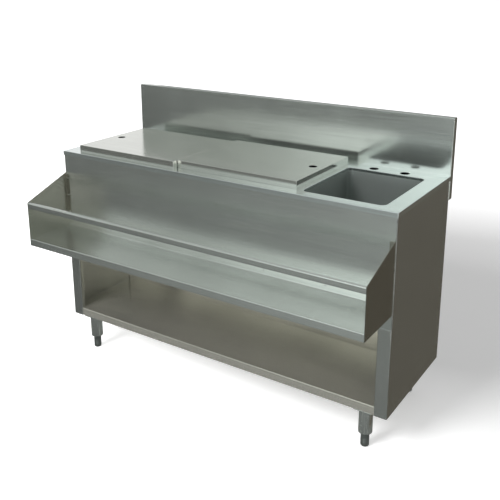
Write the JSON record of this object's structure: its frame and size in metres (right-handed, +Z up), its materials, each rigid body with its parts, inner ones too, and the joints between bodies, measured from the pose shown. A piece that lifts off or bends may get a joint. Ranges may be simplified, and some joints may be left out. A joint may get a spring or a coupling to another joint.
{
  "type": "bar sink with ice bin",
  "caption": "Free-standing steel bar station with a covered insulated ice bin, a small sink, a backsplash, a bottle rail and an open storage base on adjustable legs.",
  "frame": {"origin": "on the floor, in the middle of the whole outline seen from above", "axes": "+X to the right along the front, +Y to the back, +Z up"},
  "size_m": [1.219, 0.606, 0.912],
  "materials": {
    "panel_steel": "fine horizontal brushing",
    "deck_steel": "fine brushing, satin",
    "lid_steel": "fine brushing, satin",
    "bowl_steel": "satin",
    "rail_steel": "fine brushing, satin",
    "shelf_steel": "satin",
    "inner_steel": "satin",
    "hidden_steel": "mill finish",
    "leg_steel": "brushed round tube",
    "foot_steel": "plated, dull",
    "screw_steel": "plain machined",
    "drain_plate": "polished plating",
    "foam": "rigid closed-cell foam",
    "rubber": "moulded"
  },
  "bodies": {
    "station": {"deck_front_strip": "deck_steel", "deck_back_strip": "deck_steel", "deck_left_end": "deck_steel", "deck_right_end": "deck_steel", "deck_bridge": "deck_steel", "deck_faucet_ledge": "deck_steel", "bin_rim": "deck_steel", "deck_rear_channel": "hidden_steel", "backsplash_shell": "panel_steel", "backsplash_left_cap": "panel_steel", "backsplash_right_cap": "panel_steel", "backsplash_brace": "hidden_steel", "front_panel": "panel_steel", "left_side_panel": "panel_steel", "right_side_panel": "panel_steel", "back_panel": "panel_steel", "storage_back_panel": "inner_steel", "bottom_shelf": "shelf_steel", "shelf_channel": "hidden_steel", "ice_bin_liner": "bowl_steel", "ice_bin_insulation": "foam", "ice_bin_jacket": "hidden_steel", "ice_bin_drain_body": "drain_plate", "ice_bin_drain_gasket": "rubber", "ice_bin_drain_nut": "drain_plate", "ice_bin_drain_tail": "drain_plate", "ice_bin_drain_grid": "drain_plate", "sink_bowl": "bowl_steel", "sink_drain_body": "drain_plate", "sink_drain_gasket": "rubber", "sink_drain_nut": "drain_plate", "sink_drain_tail": "drain_plate", "sink_drain_grid": "drain_plate", "rail_trough": "rail_steel", "rail_guard": "panel_steel", "rail_left_end": "panel_steel", "rail_right_end": "panel_steel", "rail_screws": "screw_steel", "leg_bracket_front_left": "panel_steel", "leg_bracket_front_right": "panel_steel", "leg_bracket_back_left": "panel_steel", "leg_bracket_back_right": "panel_steel", "leg_tube_front_left": "leg_steel", "leg_tube_front_right": "leg_steel", "leg_tube_back_left": "leg_steel", "leg_tube_back_right": "leg_steel", "leg_collar_front_left": "foot_steel", "leg_collar_front_right": "foot_steel", "leg_collar_back_left": "foot_steel", "leg_collar_back_right": "foot_steel"},
    "left_cover": {"left_lid": "lid_steel", "left_lid_stiffener": "hidden_steel"},
    "right_cover": {"right_lid": "lid_steel", "right_lid_stiffener": "hidden_steel"},
    "front_left_foot": {"foot_front_left": "foot_steel"},
    "front_right_foot": {"foot_front_right": "foot_steel"},
    "back_left_foot": {"foot_back_left": "foot_steel"},
    "back_right_foot": {"foot_back_right": "foot_steel"}
  },
  "joints": [
    {"name": "left_cover_lift", "type": "slide", "parent": "station", "child": "left_cover", "axis": [0, 0, 1], "range_m": [0, 0.15]},
    {"name": "right_cover_lift", "type": "slide", "parent": "station", "child": "right_cover", "axis": [0, 0, 1], "range_m": [0, 0.15]},
    {"name": "front_left_foot_screw", "type": "slide", "parent": "station", "child": "front_left_foot", "axis": [0, 0, 1], "range_m": [-0.0127, 0.0127]},
    {"name": "front_right_foot_screw", "type": "slide", "parent": "station", "child": "front_right_foot", "axis": [0, 0, 1], "range_m": [-0.0127, 0.0127]},
    {"name": "back_left_foot_screw", "type": "slide", "parent": "station", "child": "back_left_foot", "axis": [0, 0, 1], "range_m": [-0.0127, 0.0127]},
    {"name": "back_right_foot_screw", "type": "slide", "parent": "station", "child": "back_right_foot", "axis": [0, 0, 1], "range_m": [-0.0127, 0.0127]}
  ]
}
